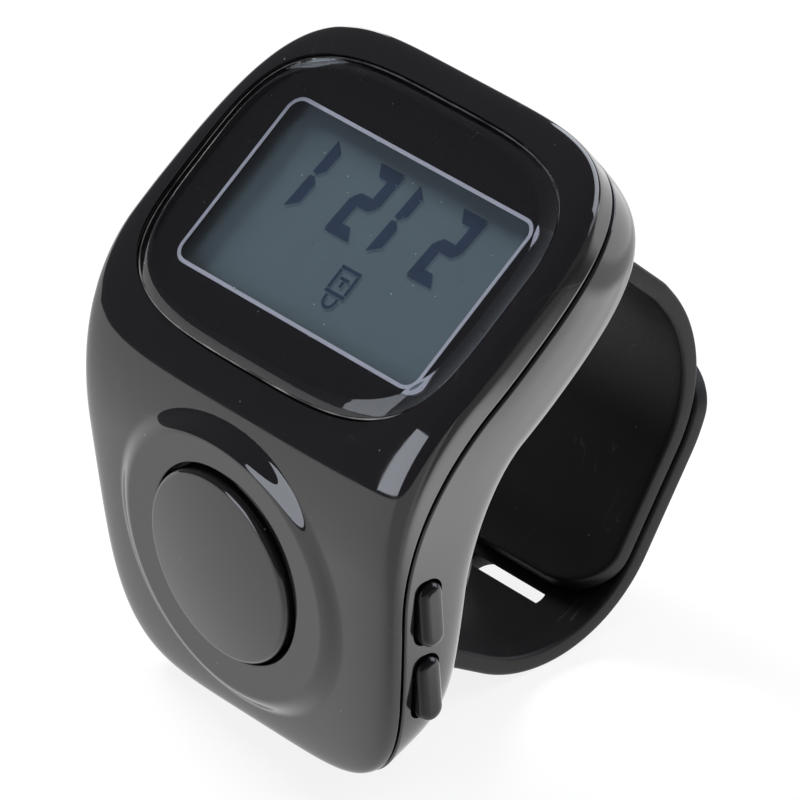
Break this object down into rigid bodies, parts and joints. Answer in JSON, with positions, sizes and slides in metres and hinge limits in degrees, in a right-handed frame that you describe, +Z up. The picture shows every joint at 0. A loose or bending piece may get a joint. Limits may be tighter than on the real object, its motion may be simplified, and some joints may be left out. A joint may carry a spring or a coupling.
{
  "type": "tally counter",
  "caption": "Digital tally counter worn on a finger: bent gloss black case with a window display, a large round front button, small side buttons and a closed rubber strap ring.",
  "frame": {"origin": "centre of the bounding box at table level, as the counter stands on the front end of its case and on its straps", "axes": "+X across the case towards the side buttons, +Y from the big button towards the rear strap, +Z up from the table"},
  "size_m": [0.0314, 0.034, 0.0374],
  "materials": {
    "black_gloss": "mirror-gloss black moulding",
    "button_gloss": "gloss black moulding",
    "black_rubber": "satin black soft rubber",
    "dark_print": "black border print with a thin pale outline",
    "display_glass": "blue-grey reflective display",
    "lens_clear": "clear polished window",
    "white_plastic": "white moulding",
    "conductive_rubber": "pink elastomer",
    "flex_film": "amber flexible film",
    "board_green": "green solder mask",
    "epoxy_black": "black epoxy",
    "ceramic_tan": "tan ceramic",
    "spring_steel": "nickel-plated steel"
  },
  "bodies": {
    "case": {"top_shell": "black_gloss", "bottom_shell": "black_gloss", "lens": "lens_clear", "lens_mask": "dark_print", "lcd_front_glass": "display_glass", "lcd_rear_glass": "display_glass", "lcd_frame": "white_plastic", "zebra_strip": "conductive_rubber", "circuit_board": "board_green", "chip_blob": "epoxy_black", "capacitor": "ceramic_tan", "resistor": "epoxy_black", "board_ribbon": "flex_film", "cell_contact_minus": "spring_steel", "cell_contact_plus": "spring_steel", "button_cell": "spring_steel", "case_screw_1": "spring_steel", "case_screw_2": "spring_steel", "case_screw_3": "spring_steel", "case_screw_4": "spring_steel", "main_dome": "black_rubber", "button_board": "board_green", "side_switch_upper": "white_plastic", "side_switch_lower": "white_plastic", "side_board": "board_green", "front_strap": "black_rubber", "rear_strap": "black_rubber", "front_strap_pin": "spring_steel", "rear_strap_pin": "spring_steel"},
    "main_button": {"main_button": "button_gloss"},
    "side_button_upper": {"side_button_upper": "button_gloss"},
    "side_button_lower": {"side_button_lower": "button_gloss"},
    "battery_door": {"battery_door": "black_gloss", "battery_door_screw": "spring_steel"}
  },
  "joints": [
    {"name": "main_button_press", "type": "slide", "parent": "case", "child": "main_button", "axis": [0, 0.9995, 0.0325], "range_m": [0, 0.0006], "stiffness_N_per_m": 1500, "springref_m": -0.0004},
    {"name": "side_button_upper_press", "type": "slide", "parent": "case", "child": "side_button_upper", "axis": [-1, 0, 0], "range_m": [0, 0.0005], "stiffness_N_per_m": 1200, "springref_m": -0.0003},
    {"name": "side_button_lower_press", "type": "slide", "parent": "case", "child": "side_button_lower", "axis": [-1, 0, 0], "range_m": [0, 0.0005], "stiffness_N_per_m": 1200, "springref_m": -0.0003},
    {"name": "battery_door_lift", "type": "slide", "parent": "case", "child": "battery_door", "axis": [0, 0.5816, -0.8135], "range_m": [0, 0.004]}
  ]
}
